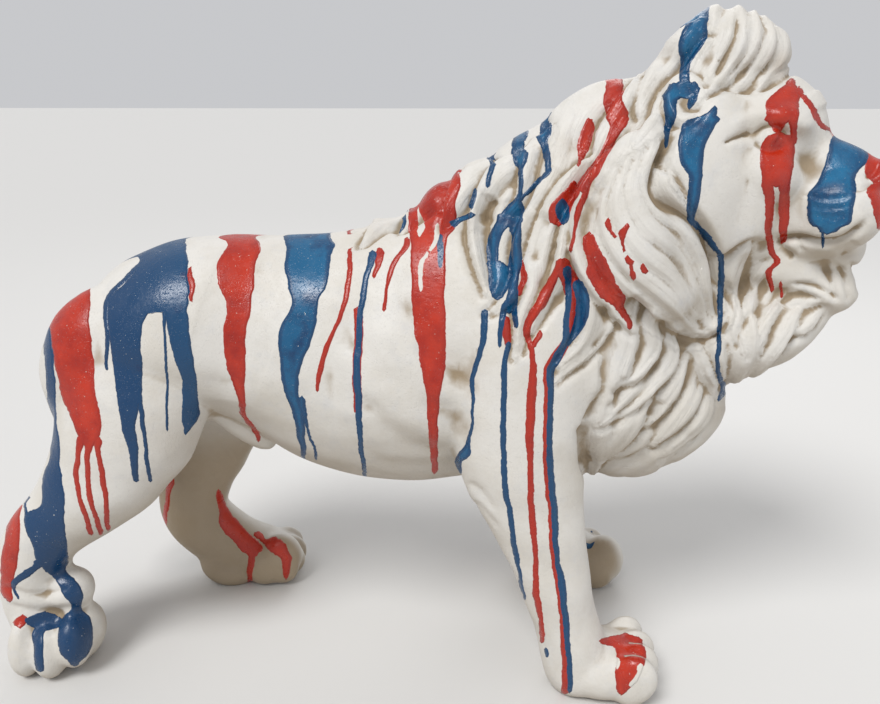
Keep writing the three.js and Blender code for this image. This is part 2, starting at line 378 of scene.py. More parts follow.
# %% [markdown]
# ## Carving
# Carving follows lines on a side drawing of the lion. Each point of the skin is looked up on that
# drawing, and points on the lion's left look up their twin on its right, so both sides are
# carved alike. The head has a drawing of its own, laid along its turned middle.

# %% The drawings
DRAWING_Y = -150


def read(piece):
    points = np.empty(len(piece.data.vertices) * 3)
    piece.data.vertices.foreach_get("co", points)
    normals = np.empty_like(points)
    piece.data.vertices.foreach_get("normal", normals)
    return points.reshape(-1, 3), normals.reshape(-1, 3)


def on_drawing(points):
    zero, eye = np.array(at(0, 0, 0)), np.array(VIEW_FROM)
    nearer = (at(0, DRAWING_Y, 0).y - eye[1]) / (points[:, 1] - eye[1])
    seen = eye + (points - eye) * nearer[:, None]
    return (seen[:, [0, 2]] - zero[[0, 2]]) / MM


def on_head(points):
    ahead = np.array([math.cos(HEAD_TURN), math.sin(HEAD_TURN)])
    reach = (points[:, :2] - PIVOT) @ ahead / MM
    return np.stack([reach, (points[:, 2] - at(0, 0, 0).z) / MM], 1)


points, normals = read(lion)
signed, twin, _ = fold(points, normals)
side_view, head_view = on_drawing(twin), on_head(twin)
height = np.zeros(len(points))
print("looked up", len(points), "points on the drawings")


# %% Following a line
def smooth_line(path, steps=5):
    path = np.array(path, float)
    path = np.vstack([2 * path[0] - path[1], path, 2 * path[-1] - path[-2]])
    rows = []
    for a, b, c, d in zip(path, path[1:], path[2:], path[3:]):
        for t in np.arange(steps) / steps:
            bend = (2 * a - 5 * b + 4 * c - d) * t * t + (3 * b - a - 3 * c + d) * t ** 3
            rows.append(b + ((c - a) * t + bend) / 2)
    return np.array(rows + [path[-2]])


def follow(view, path, margin):
    """The points near a path: their numbers, places along it, steps to its side, its widths."""
    line = smooth_line(path)
    reach = line[:, 2].max() + margin
    low, high = line[:, :2].min(0) - reach, line[:, :2].max(0) + reach
    near = np.flatnonzero(((view > low) & (view < high)).all(1))
    here, best = view[near], np.full(len(near), np.inf)
    along, side, width = np.zeros((3, len(near)))
    for i, (a, b) in enumerate(zip(line, line[1:])):
        leg = b[:2] - a[:2]
        t = np.clip((here - a[:2]) @ leg / (leg @ leg), 0, 1)
        gap = here - a[:2] - t[:, None] * leg
        far = np.hypot(gap[:, 0], gap[:, 1])
        closer = far < best
        best[closer] = far[closer]
        side[closer] = (np.sign(leg[0] * gap[:, 1] - leg[1] * gap[:, 0]) * far)[closer]
        along[closer] = ((i + t) / (len(line) - 1))[closer]
        width[closer] = (a[2] + t * (b[2] - a[2]))[closer]
    kept = best < width + margin
    return near[kept], along[kept], side[kept], width[kept]


# %% [markdown]
# A lock of the mane lies on its neighbour as a wave lies on a beach: it rises softly on one side
# and falls off steeply on the other, where it leaves a shadow line. Locks are laid in order,
# and each one lies over those before it. Their heights are then blurred, as a wet finger would,
# and the strands are combed in last, with sharp grooves between them.

# %% Locks
rng = np.random.default_rng(7)
strands_in = np.zeros(len(points))
LOCK_FULLNESS = 1.3


def lay_lock(view, path, lift, strands, steep):
    path = [(x, z, LOCK_FULLNESS * width) for x, z, width in path]
    near, along, side, width = follow(view, path, 9)
    across = steep * side / np.maximum(width, 1)
    beside = near[across > 1]
    height[beside] -= 0.45 * lift * np.clip(1 - (abs(side) - width)[across > 1] / 9, 0, 1)
    inside = abs(across) <= 1
    near, along, across = near[inside], along[inside], across[inside]
    swell = lift * (0.35 + 0.65 * np.sin(np.pi * np.clip(along * 0.92 + 0.04, 0, 1)) ** 0.7)
    edge = np.sqrt(np.clip(1 - (np.clip(across - 0.5, 0, 1) / 0.5) ** 2, 0, 1))
    own = swell * (0.25 + 0.75 * ease(across, -1, 0.4)) * edge
    cover = ease(across, -1, -0.2)
    height[near] = height[near] * (1 - cover) + (own + 0.3 * np.clip(height[near], -6, 14)) * cover
    wave = rng.uniform(-0.3, 0.3) * np.sin(along * 4 + rng.uniform(0, 6))
    comb = abs(np.sin(np.pi * strands * (across + 1 + wave) / 2)) ** 0.6 if strands else 1
    strands_in[near] = strands_in[near] * (1 - cover) - (1 - comb) * cover * ease(-abs(across), -1, -0.8)


# x, z and half width at each point, root first
CHEST_LOCKS = [
    [(253, 456, 10), (245, 413, 15), (243, 370, 12), (239, 340, 5)],
    [(348, 401, 10), (317, 368, 15), (278, 353, 10), (247, 340, 4)],
    [(306, 462, 10), (283, 428, 20), (265, 394, 17), (256, 367, 6)],
    [(408, 464, 7), (396, 436, 10), (372, 398, 11), (336, 360, 5)],
    [(380, 491, 7), (379, 453, 13), (362, 416, 12), (334, 380, 5)],
    [(361, 504, 9), (360, 469, 15), (343, 429, 13), (320, 392, 5)],
    [(348, 512, 7), (338, 477, 11), (323, 446, 10), (309, 417, 4)],
    [(334, 547, 9), (328, 509, 13), (301, 476, 15), (274, 445, 12), (247, 419, 4)],
    [(301, 565, 10), (304, 528, 15), (291, 498, 12), (265, 473, 5)],
    [(272, 577, 10), (271, 533, 16), (263, 495, 15), (257, 456, 5)],
    [(251, 593, 6), (246, 559, 10), (228, 529, 10), (204, 505, 9), (187, 480, 4)],
]
THROAT_LOCKS = [
    [(384, 553, 7), (388, 513, 11), (399, 478, 6)],
    [(355, 537, 6), (369, 505, 10), (382, 478, 10), (403, 453, 5)],
    [(474, 543, 6), (460, 519, 9), (438, 489, 4)],
    [(510, 580, 6), (494, 559, 10), (476, 545, 5)],
    [(481, 582, 7), (468, 549, 11), (452, 519, 11), (428, 481, 6)],
    [(457, 597, 7), (440, 559, 11), (432, 522, 11), (420, 473, 6)],
    [(437, 640, 6), (419, 607, 11), (419, 566, 11), (424, 527, 11), (416, 478, 6)],
    [(415, 659, 6), (397, 630, 11), (395, 592, 11), (406, 553, 11), (421, 521, 6)],
]
NECK_LOCKS = [
    [(13, 710, 6), (-14, 695, 9), (-39, 678, 7), (-59, 658, 4)],
    [(56, 734, 7), (32, 717, 11), (10, 698, 9), (-10, 676, 4)],
    [(94, 753, 9), (73, 734, 13), (56, 710, 11), (44, 683, 5)],
    [(141, 762, 10), (111, 744, 13), (90, 713, 11), (82, 676, 10), (88, 637, 9), (96, 599, 4)],
    [(175, 742, 7), (151, 699, 12), (138, 657, 12), (141, 620, 12), (125, 589, 10), (98, 568, 4)],
    [(212, 760, 7), (188, 725, 12), (168, 684, 13), (160, 645, 15), (162, 602, 15), (146, 563, 13),
     (137, 515, 6)],
    [(238, 763, 6), (216, 725, 11), (198, 687, 12), (194, 653, 12), (186, 615, 12), (169, 583, 10),
     (154, 547, 5)],
    [(204, 643, 6), (226, 603, 13), (231, 564, 13), (218, 529, 10), (189, 499, 4)],
    [(287, 801, 9), (262, 774, 15), (232, 739, 16), (211, 699, 15), (213, 658, 15), (233, 615, 15),
     (260, 577, 10), (280, 551, 4)],
]
CREST_LOCKS = [
    [(314, 909, 6), (294, 884, 10), (276, 858, 10), (260, 837, 6)],
    [(266, 852, 7), (258, 832, 12), (244, 810, 12), (229, 788, 10), (219, 763, 5)],
    [(236, 850, 11), (208, 834, 21), (189, 803, 22), (181, 772, 17), (166, 734, 11), (148, 704, 5)],
    [(166, 792, 7), (150, 772, 12), (144, 746, 11), (136, 718, 7), (119, 696, 4)],
    [(327, 911, 9), (313, 890, 13), (296, 867, 13), (280, 843, 11), (268, 819, 5)],
    [(339, 886, 9), (326, 858, 12), (303, 834, 13), (288, 806, 10), (269, 781, 5)],
    [(409, 858, 7), (423, 867, 10), (431, 882, 6)],
    [(397, 848, 7), (411, 869, 10), (417, 890, 10), (409, 913, 6)],
    [(379, 848, 7), (393, 871, 11), (401, 894, 11), (395, 921, 7)],
    [(356, 848, 7), (373, 871, 11), (383, 896, 12), (381, 925, 9)],
    [(331, 834, 9), (347, 863, 15), (362, 890, 16), (364, 923, 12)],
    [(335, 839, 6), (323, 846, 9), (310, 841, 10), (306, 826, 10), (317, 812, 9), (331, 815, 5)],
]
SCROLL = [(287, 799, 11), (267, 749, 32), (278, 690, 46), (307, 634, 51), (336, 596, 44), (352, 578, 36)]
SCROLL_STRANDS = [
    [(235, 725, 7), (230, 675, 13), (257, 625, 15), (301, 584, 15), (352, 544, 7)],
    [(251, 744, 9), (243, 696, 15), (274, 641, 16), (325, 599, 16), (364, 555, 9)],
    [(266, 758, 9), (259, 708, 15), (287, 661, 16), (336, 624, 16), (366, 576, 10)],
    [(281, 772, 7), (275, 728, 13), (295, 688, 15), (339, 654, 15), (369, 598, 11), (378, 563, 5)],
    [(296, 783, 6), (289, 749, 11), (302, 714, 13), (339, 681, 13), (366, 639, 12), (382, 579, 7)],
]
LAYERS = (
    (CHEST_LOCKS, 12, 3, 1), (THROAT_LOCKS, 10, 3, 1), (NECK_LOCKS, 18, 2, -1), ([SCROLL], 20, 0, 1),
    (SCROLL_STRANDS, 7, 3, -1), (CREST_LOCKS, 13, 3, -1),
)
for locks, lift, strands, steep in LAYERS:
    for path in locks:
        lay_lock(side_view, path, lift, strands, steep)
print("laid", sum(len(locks) for locks, *_ in LAYERS), "locks on each side")


# %% Blur the locks and comb the strands
def neighbours_mean(piece, values, repeat):
    ends = np.empty(len(piece.data.edges) * 2, np.int32)
    piece.data.edges.foreach_get("vertices", ends)
    one, other = ends.reshape(-1, 2).T
    links = np.bincount(ends, minlength=len(values))
    for _ in range(repeat):
        total = np.bincount(one, values[other], len(values)) + np.bincount(other, values[one], len(values))
        values = total / links
    return values


SINK = 8
hair = neighbours_mean(lion, (strands_in < 0).astype(float), 12)
height = neighbours_mean(lion, height, 2) + 2 * strands_in - SINK * ease(hair, 0.1, 0.7)
beside_spine = np.maximum(ease(abs(signed), 0.004, 0.022), ease(side_view[:, 0], 250, 310))
height = height * beside_spine + neighbours_mean(lion, height, 60) * (1 - beside_spine)
print("locks stand up to", round(height.max(), 1), "mm")

# %% Deep hollows between locks
HOLLOWS = [
    (9, [(370, 925, 4), (369, 897, 5), (359, 871, 5), (348, 848, 4)]),
    (9, [(259, 590, 5), (294, 564, 6), (331, 545, 7), (363, 534, 6), (386, 546, 5), (390, 572, 4)]),
    (12, [(100, 720, 11), (92, 701, 11), (94, 681, 7)]),
    (10, [(169, 699, 9), (156, 667, 10), (151, 630, 7)]),
    (14, [(267, 588, 9), (283, 572, 12), (299, 560, 9)]),
    (8, [(324, 515, 6), (297, 465, 7), (262, 421, 5)]),
    (6, [(276, 490, 5), (261, 458, 5)]),
    (9, [(224, 422, 10), (234, 390, 11), (241, 346, 10)]),
    (6, [(327, 457, 5), (312, 429, 5)]),
    (6, [(401, 654, 6), (389, 619, 6), (396, 553, 5)]),
    (6, [(436, 592, 5), (416, 553, 6), (415, 519, 5)]),
    (8, [(242, 590, 6), (247, 551, 7), (228, 521, 5)]),
    (7, [(202, 718, 6), (196, 689, 6), (196, 655, 5)]),
    (6, [(134, 612, 5), (112, 583, 5), (95, 565, 4)]),
]

# %% [markdown]
# The face and the skin are finished with soft strokes: a groove is pressed in along a line, and
# a ridge is pushed up along one.


# %% Strokes
def stroke(view, path, depth, where=True):
    near, along, side, width = follow(view, path, 14)
    fade = np.clip(np.minimum(along, 1 - along) * 6, 0.15, 1)
    dent = depth * np.exp(-((side / width) ** 2)) * fade
    height[near] -= np.where(np.broadcast_to(where, len(points))[near], dent, 0)


face = (head_view[:, 0] > -30) & (head_view[:, 1] > 540)
CREVICE = [
    (311, 801, 5), (305, 778, 6), (295, 751, 7), (294, 726, 7), (310, 706, 7), (338, 690, 7),
    (360, 669, 7), (378, 639, 7), (385, 597, 6), (389, 545, 5),
]
stroke(side_view, CREVICE, 16)
FACE_STROKES = [
    (-6, [(79, 784, 8), (87, 785, 10), (95, 783, 8)]),
    (5, [(66, 784, 3), (78, 796, 3), (94, 796, 3), (108, 780, 3)]),
    (4, [(68, 782, 3), (80, 772, 3), (95, 771, 3), (108, 778, 3)]),
    (6, [(40, 778, 2), (54, 786, 3), (67, 790, 3)]),
    (-5, [(41, 796, 7), (59, 806, 10), (81, 812, 10), (108, 804, 9)]),
    (-2.5, [(53, 774, 5), (69, 778, 6), (86, 769, 6)]),
    (2.5, [(131, 718, 2), (159, 715, 4), (183, 720, 2)]),
    (2.5, [(134, 706, 2), (161, 704, 4), (185, 709, 2)]),
    (2.5, [(140, 695, 2), (163, 693, 4), (183, 700, 2)]),
    (2, [(131, 772, 9), (126, 736, 10), (129, 700, 10), (144, 674, 8)]),
    (5, [(209, 734, 4), (191, 728, 5), (176, 737, 4)]),
    (5, [(195, 739, 4), (202, 747, 5), (204, 756, 4)]),
    (12, [(109, 645, 4), (112, 658, 5), (132, 663, 5), (157, 661, 5), (180, 666, 5), (195, 679, 5),
          (204, 694, 4)]),
    (7, [(110, 658, 5), (116, 645, 6), (131, 635, 4)]),
    (3, [(131, 660, 2), (137, 645, 4)]),
    (6, [(200, 662, 8), (186, 650, 9), (186, 636, 7)]),
    (5, [(113, 578, 3), (141, 586, 4), (169, 583, 3)]),
    (5, [(127, 600, 3), (157, 600, 4), (188, 585, 3)]),
    (5, [(161, 627, 3), (176, 604, 4), (184, 578, 3)]),
    (5, [(176, 630, 3), (191, 606, 4), (199, 577, 3)]),
    (5, [(191, 633, 3), (202, 611, 4), (207, 586, 3)]),
    (4, [(-6, 834, 6), (12, 845, 7), (39, 842, 7), (68, 846, 7), (94, 852, 6)]),
    (5, [(102, 655, 5), (74, 649, 6), (55, 626, 8), (51, 586, 6)]),
    (-4, [(118, 838, 10), (135, 817, 10)]),
]
for depth, path in FACE_STROKES:
    stroke(head_view, path, depth, face)
BODY_STROKES = [
    (5, [(-93, 557, 17), (-51, 498, 20), (11, 455, 20), (66, 413, 15)]),
    (5, [(-16, 598, 15), (22, 529, 17), (71, 464, 15)]),
    (5, [(-79, 456, 15), (-22, 400, 17), (48, 369, 12)]),
    (6, [(-183, 667, 24), (-210, 585, 37), (-240, 504, 37), (-248, 442, 24)]),
    (6, [(78, 554, 15), (74, 470, 17), (68, 410, 17), (63, 357, 12)]),
    (2.5, [(72, 333, 5), (92, 319, 6), (114, 288, 5)]),
    (2.5, [(81, 306, 5), (100, 288, 5), (120, 260, 4)]),
    (3.5, [(-612, 150, 6), (-560, 134, 7), (-500, 150, 6)]),
    (3, [(-606, 118, 6), (-556, 106, 7), (-496, 116, 6)]),
]
for depth, path in BODY_STROKES + HOLLOWS:
    stroke(side_view, path, depth)

# %% Unevenness of work by hand
for _ in range(14):
    direction = rng.normal(size=3)
    ripple = 2 * np.pi / rng.uniform(0.05, 0.16) * direction / np.linalg.norm(direction)
    height += 0.4 * np.sin(points @ ripple + rng.uniform(0, 6.3))
points += normals * height[:, None] * MM
lion.data.vertices.foreach_set("co", points.ravel())
lion.data.update()
soften(lion, 1, 0.3)
print("carved between", round(height.min(), 1), "and", round(height.max(), 1), "mm")

# %% [markdown]
# ## Soles and size of the mesh
# The ground cuts the four paws flat, so that the lion stands. The skin has far more points than
# a smooth flank needs, and a decimate modifier takes them where the surface is plain.

# %% Cut the soles and thin the mesh
only(lion)
bpy.ops.object.mode_set(mode="EDIT")
bpy.ops.mesh.select_all(action="SELECT")
bpy.ops.mesh.bisect(plane_co=at(0, 0, 0), plane_no=(0, 0, 1), use_fill=True, clear_inner=True)
bpy.ops.object.mode_set(mode="OBJECT")
MOST_TRIANGLES = 190000
lion.data.calc_loop_triangles()
thin = lion.modifiers.new("thin", "DECIMATE")
thin.ratio = min(1, MOST_TRIANGLES / len(lion.data.loop_triangles))
thin.use_collapse_triangulate = True
bpy.ops.object.modifier_apply(modifier=thin.name)
bpy.ops.object.mode_set(mode="EDIT")
bpy.ops.mesh.select_all(action="SELECT")
bpy.ops.mesh.normals_make_consistent(inside=False)
bpy.ops.object.mode_set(mode="OBJECT")
bpy.ops.object.shade_smooth()
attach(lion, "root")
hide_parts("lion")
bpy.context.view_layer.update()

# %% [markdown]
# ## Where the paint can run
# The pours are laid out on the same side drawing. Each point of the mesh keeps its place on the
# drawing, in metres, with a third number that is 1 on surfaces that face outwards and 0 on the
# inner sides of the legs. On the lion's left the drawing slips forward below the back, so the
# two sides are poured differently. Where the body turns away from the drawing's viewpoint, the
# layout is wrapped on round it, and on the spine it is let down a little, so that runs start
# beyond the ridge. The inner sides of the left legs, which are seen between the others, have a
# layout of their own. Three last numbers tell how deep in a fold a point lies and how far it
# faces down, which set painted shade, and how much painted shade and old stains darken it.


# %% Places for the shader
def store(name, columns):
    layer = lion.data.attributes.new(name, "FLOAT_VECTOR", "POINT")
    layer.data.foreach_set("vector", np.stack(columns, 1).ravel())


# painted shade and old stains: x, z, half width, half height and strength of each dark spot
SHADE_AND_STAIN_SPOTS = [
    (523, 655, 22, 20, 0.5), (422, 866, 18, 14, 0.4), (-300, 370, 60, 60, 0.3),
    (250, 366, 40, 22, 0.3), (350, 366, 60, 18, 0.3), (404, 440, 16, 34, 0.3),
]
FAR_SLIP, FAR_HEAD_SLIP, WRAP, OVER_SPINE = 0.055, 0.3, 0.14, 0.024
INNER_LEG_SHADE, LESS_SHADE_RIGHT = 0.8, 0.55  # painted shade inside the left legs, and how much less the right has
points, normals = read(lion)
signed, twin, facing = fold(points, normals)
faces_out = -facing[:, 1]
to_eye = np.array(VIEW_FROM) - twin
seen = (facing * to_eye).sum(1) / np.linalg.norm(to_eye, axis=1)
place = on_drawing(twin) * MM
ahead_of_tail = ease(place[:, 0], -0.52, -0.48)
slip = ahead_of_tail * (FAR_SLIP + FAR_HEAD_SLIP * ease(place[:, 0], 0.2, 0.45))
hidden, frontal = neighbours_mean(lion, -seen, 40), neighbours_mean(lion, facing[:, 0], 40)
behind_head = 1 - ease(place[:, 0], 0.3, 0.4)
off_tuft = np.maximum(ahead_of_tail, ease(place[:, 1], 0.28, 0.34))
wrap = WRAP * ease(hidden, 0, 0.35) * np.clip(2 * frontal, -1, 1) * behind_head * off_tuft
slipped = place[:, 0] + slip * ease(-signed, 0.02, 0.11) + wrap
over_spine = OVER_SPINE * (1 - ease(abs(signed), 0.005, 0.05)) * ease(facing[:, 2], 0.3, 0.8) * behind_head
store("drawing", [slipped, place[:, 1] - over_spine, ease(faces_out, -0.45, -0.2)])
straight = on_drawing(points) * MM
shown = ease(-normals[:, 1], 0.1, 0.35) * (signed < -0.03) * (straight[:, 1] < 0.4)
store("inner_side", [straight[:, 0], straight[:, 1], shown])

blurred = np.stack([neighbours_mean(lion, points[:, k], 10) for k in range(3)], 1)
side_of_lock, along_lock, in_hair = np.zeros((3, len(points)))
for locks, *_ in LAYERS:
    for path in locks:
        near, along, side, width = follow(on_drawing(twin), path, 0.35 * max(row[2] for row in path))
        side_of_lock[near], along_lock[near] = side * MM, along * len(path) * 0.04
        in_hair[near] = 1
store("lock", [side_of_lock, along_lock, neighbours_mean(lion, in_hair, 3)])
depth_in_fold = ((blurred - points) * normals).sum(1)
# painted shade: the inner sides of the legs are darkened, more on the left, and the spots add painted
# shade and old stains
shade_and_stain = INNER_LEG_SHADE * ease(-faces_out, -0.3, 0.6) * ease(-place[:, 1], -0.45, -0.3)
shade_and_stain = shade_and_stain * (1 - LESS_SHADE_RIGHT * ease(signed, -0.03, 0.03))
for x, z, wide, tall, strength in SHADE_AND_STAIN_SPOTS:
    gap = on_drawing(twin) - (x, z)
    shade_and_stain = np.maximum(shade_and_stain, strength * np.exp(-((gap / (wide, tall)) ** 2).sum(1)))
store("fold_depth", [depth_in_fold, ease(-normals[:, 2], 0, 0.9), shade_and_stain])
print("folds reach", round(depth_in_fold.max() / MM, 1), "mm below their surroundings")

# %% [markdown]
# ## The pours
# The real lion was laid out by hand: a cup of paint is tipped over the back, spreads, and runs
# down in bands that end in thin drips. Each run here is a list of heights with the middle and
# the half width of the run at that height.

# %% Layout of the runs
# z, x and half width in the drawing's millimetres, from the top of each run down
RED_RUNS = [
    [(632, -424, 17), (596, -433, 23), (528, -446, 27), (458, -446, 24), (401, -441, 18),
     (388, -442, 13), (378, -443, 7)],
    [(386, -454, 6), (363, -460, 4), (325, -468, 4), (286, -466, 4), (241, -460, 4)],
    [(386, -442, 6), (356, -448, 4), (294, -452, 4), (242, -446, 4)],
    [(386, -430, 6), (371, -432, 4), (310, -430, 4), (247, -434, 4)],
    [(626, -278, 2), (604, -278, 4), (584, -281, 2)],
    [(689, -194, 12), (668, -197, 19), (624, -220, 24), (576, -220, 16), (542, -228, 15),
     (497, -230, 12), (454, -227, 6), (428, -226, 4), (390, -207, 3)],
    [(650, -75, 3), (597, -80, 4), (557, -94, 3), (515, -112, 4), (463, -124, 2)],
    [(648, -38, 6), (632, -40, 4), (615, -45, 2)],
    [(574, -66, 6), (506, -70, 6), (436, -72, 6)],
    [(664, -4, 4), (630, -22, 4), (600, -30, 2), (573, -34, 3)],
    [(739, 52, 8), (722, 46, 14), (708, 32, 24), (684, 28, 29), (665, 23, 23), (612, 22, 21),
     (552, 24, 20), (490, 28, 14), (442, 28, 8), (399, 28, 6), (349, 30, 4)],
    [(637, 138, 3), (618, 142, 4), (597, 136, 4)],
    [(563, 120, 6), (540, 122, 5), (520, 124, 2)],
    [(638, 186, 6), (614, 176, 6), (590, 166, 8), (570, 155, 7), (548, 147, 5), (523, 154, 4),
     (477, 157, 6), (429, 156, 6), (341, 160, 4), (283, 164, 5), (222, 170, 4), (145, 176, 5),
     (116, 182, 4), (76, 185, 3)],
    [(546, 164, 4), (528, 156, 4)],
    [(637, 190, 8), (609, 200, 12), (584, 205, 10), (560, 203, 8), (540, 200, 7), (516, 187, 8),
     (492, 177, 6), (430, 179, 6), (372, 181, 6), (284, 191, 6), (222, 197, 6), (176, 206, 6),
     (117, 214, 6), (74, 219, 6), (-12, 223, 6)],
    [(858, 253, 3), (842, 241, 9), (828, 236, 11), (815, 241, 13), (799, 245, 10), (792, 242, 8),
     (767, 230, 6), (743, 216, 8), (728, 208, 8)],
    [(730, 212, 4), (701, 205, 4), (677, 201, 2), (653, 197, 3)],
    [(805, 212, 4), (789, 208, 8), (777, 206, 8), (766, 204, 4), (754, 202, 2)],
    [(730, 196, 6), (707, 184, 13), (689, 181, 11)],
    [(668, 219, 8), (638, 230, 12), (616, 238, 16), (600, 248, 16), (584, 259, 8), (553, 276, 2)],
    [(691, 240, 2), (684, 241, 4), (676, 245, 2), (669, 250, 2)],
    [(684, 263, 3), (674, 258, 5), (664, 258, 2), (652, 262, 2)],
    [(646, 266, 2), (640, 270, 5), (633, 272, 2), (622, 276, 4), (616, 277, 2)],
    [(634, 286, 3), (629, 288, 4), (624, 290, 2)],
    [(846, 436, 6), (837, 434, 14), (824, 430, 19), (810, 432, 18), (805, 426, 12),
     (795, 428, 6)],
    [(815, 443, 7), (795, 446, 4), (782, 448, 4)],
    [(784, 431, 17), (772, 431, 20), (755, 432, 19), (739, 434, 16)],
    [(747, 424, 7), (708, 430, 5), (668, 435, 4), (652, 440, 4), (640, 448, 4), (629, 440, 4),
     (604, 446, 3)],
    [(755, 443, 8), (726, 445, 7), (691, 449, 6), (667, 452, 4)],
    [(616, 457, 2), (595, 460, 2)],
    [(841, 446, 4), (831, 454, 4), (819, 464, 4), (809, 471, 4), (799, 480, 4), (789, 494, 4)],
    [(770, 544, 10), (756, 544, 10), (743, 547, 10), (736, 552, 6)],
    [(728, 550, 10), (715, 554, 8), (701, 558, 6), (682, 564, 4)],
    [(92, 304, 6), (80, 298, 32), (70, 312, 22), (50, 316, 21), (30, 314, 20), (8, 312, 15), (-8, 306, 8)],
    [(286, -556, 4), (270, -564, 7), (243, -572, 10), (215, -580, 12), (182, -589, 13),
     (165, -594, 10), (136, -600, 9), (125, -598, 5)],
    [(96, -582, 5), (90, -585, 11), (82, -590, 8)],
]
BLUE_RUNS = [
    [(549, -476, 5), (463, -482, 6), (415, -488, 6), (365, -492, 7), (324, -502, 14),
     (282, -509, 17), (268, -522, 29), (244, -525, 29), (217, -522, 26), (195, -522, 24),
     (178, -521, 17), (162, -508, 15), (139, -501, 16), (116, -498, 8), (104, -500, 17),
     (87, -503, 24), (63, -508, 27), (39, -512, 24), (16, -516, 8)],
    [(298, -540, 2), (284, -548, 2), (266, -548, 3)],
    [(188, -544, 8), (178, -556, 9), (168, -568, 9), (157, -582, 7), (146, -587, 3), (129, -584, 2)],
    [(99, -548, 16), (90, -552, 29), (80, -550, 26), (71, -562, 10), (43, -567, 8), (1, -572, 6)],
    [(684, -296, 22), (665, -301, 23), (636, -310, 30), (604, -324, 42), (574, -340, 52)],
    [(586, -361, 30), (544, -372, 22), (502, -374, 20), (452, -378, 17), (414, -383, 10),
     (398, -384, 9), (365, -382, 6), (325, -384, 4)],
    [(586, -308, 24), (571, -302, 15), (521, -300, 13), (470, -294, 10), (427, -297, 12),
     (409, -302, 7), (396, -308, 2)],
    [(654, -322, 4), (616, -358, 4), (582, -390, 4), (529, -397, 3), (489, -403, 2)],
    [(452, -364, 4), (387, -365, 3), (326, -364, 3)],
    [(576, -316, 4), (537, -320, 2), (475, -324, 2), (401, -331, 2)],
    [(685, -114, 10), (669, -112, 14), (648, -126, 29), (602, -131, 24), (580, -135, 17),
     (548, -146, 23), (506, -156, 16), (464, -160, 10), (435, -152, 8), (403, -150, 6),
     (359, -148, 2)],
    [(450, -146, 6), (406, -140, 2), (362, -130, 2)],
    [(647, -47, 5), (616, -55, 4), (566, -64, 4), (473, -71, 5), (403, -70, 4), (333, -66, 2)],
    [(697, 8, 3), (691, -2, 7), (684, -12, 9), (676, -13, 4)],
    [(670, 37, 3), (650, 38, 4), (630, 37, 2)],
    [(694, 74, 6), (690, 64, 9), (684, 54, 5)],
    [(726, 79, 2), (715, 78, 3), (704, 75, 2)],
    [(756, 100, 4), (742, 97, 3), (728, 94, 2)],
    [(767, 132, 10), (754, 132, 6), (745, 133, 3), (721, 134, 3), (706, 128, 10), (690, 124, 14)],
    [(692, 116, 10), (670, 104, 8), (639, 102, 7), (631, 111, 16), (613, 112, 15), (596, 109, 8)],
    [(692, 126, 10), (664, 131, 6), (637, 130, 8), (613, 129, 6), (589, 127, 8), (578, 125, 9)],
    [(584, 119, 5), (563, 116, 4), (528, 113, 2)],
    [(584, 130, 4), (568, 132, 4), (552, 133, 2)],
    [(797, 158, 10), (783, 159, 6), (766, 164, 4), (748, 166, 4), (737, 156, 4), (721, 142, 4),
     (714, 135, 3)],
    [(531, 124, 4), (509, 122, 4), (476, 120, 4), (428, 120, 4), (361, 123, 4), (312, 128, 4),
     (276, 135, 4), (234, 140, 4), (202, 148, 3), (176, 152, 3), (150, 158, 2)],
    [(66, 191, 2), (58, 193, 3), (50, 194, 2)],
    [(575, 94, 4), (536, 93, 4), (520, 88, 4), (476, 80, 3), (428, 80, 2), (387, 74, 4),
     (372, 68, 9), (363, 62, 5), (345, 65, 2)],
    [(630, 194, 5), (606, 196, 4), (584, 197, 4), (560, 196, 4), (540, 197, 5), (516, 188, 6),
     (492, 180, 5), (429, 182, 4), (372, 184, 4), (284, 194, 5), (222, 200, 4), (176, 209, 5),
     (117, 217, 5), (74, 223, 4), (-11, 230, 4)],
    [(612, 208, 6), (596, 214, 9), (578, 216, 9), (560, 213, 8), (544, 207, 6), (530, 201, 3)],
    [(713, 184, 4), (701, 185, 8), (687, 187, 5)],
    [(918, 329, 7), (908, 324, 12), (893, 321, 15), (880, 318, 12), (864, 316, 6), (851, 316, 6),
     (843, 321, 13), (837, 319, 16)],
    [(841, 313, 15), (833, 304, 12), (828, 302, 8), (805, 304, 6), (795, 302, 4), (777, 302, 2)],
    [(841, 327, 7), (830, 327, 6), (819, 325, 2)],
    [(821, 353, 3), (811, 348, 8), (804, 339, 19), (789, 334, 18), (776, 332, 16),
     (761, 333, 14), (738, 340, 8), (707, 340, 7), (693, 339, 5), (684, 346, 5), (674, 356, 5),
     (660, 368, 5), (648, 378, 4), (623, 382, 4), (592, 384, 4), (553, 388, 3), (502, 391, 3),
     (471, 402, 4), (457, 398, 2)],
    [(793, 501, 7), (782, 508, 18), (773, 512, 22), (761, 512, 24), (746, 505, 21),
     (732, 504, 23), (721, 501, 28), (703, 502, 27), (692, 503, 26), (686, 503, 22), (681, 503, 13)],
    [(694, 495, 4), (667, 498, 2), (658, 500, 2)],
]
INSIDE_RED = [
    [(310, -269, 4), (280, -264, 8), (252, -253, 17), (228, -234, 18), (213, -231, 8)],
    [(244, -210, 16), (232, -198, 16), (220, -192, 14), (204, -182, 8), (173, -184, 3)],
    [(222, -231, 5), (160, -237, 3)],
    [(349, -338, 4), (328, -337, 6), (307, -340, 4), (254, -350, 2)],
]
INSIDE_BLUE = [
    [(265, 239, 5), (251, 243, 8), (236, 243, 5)],
]
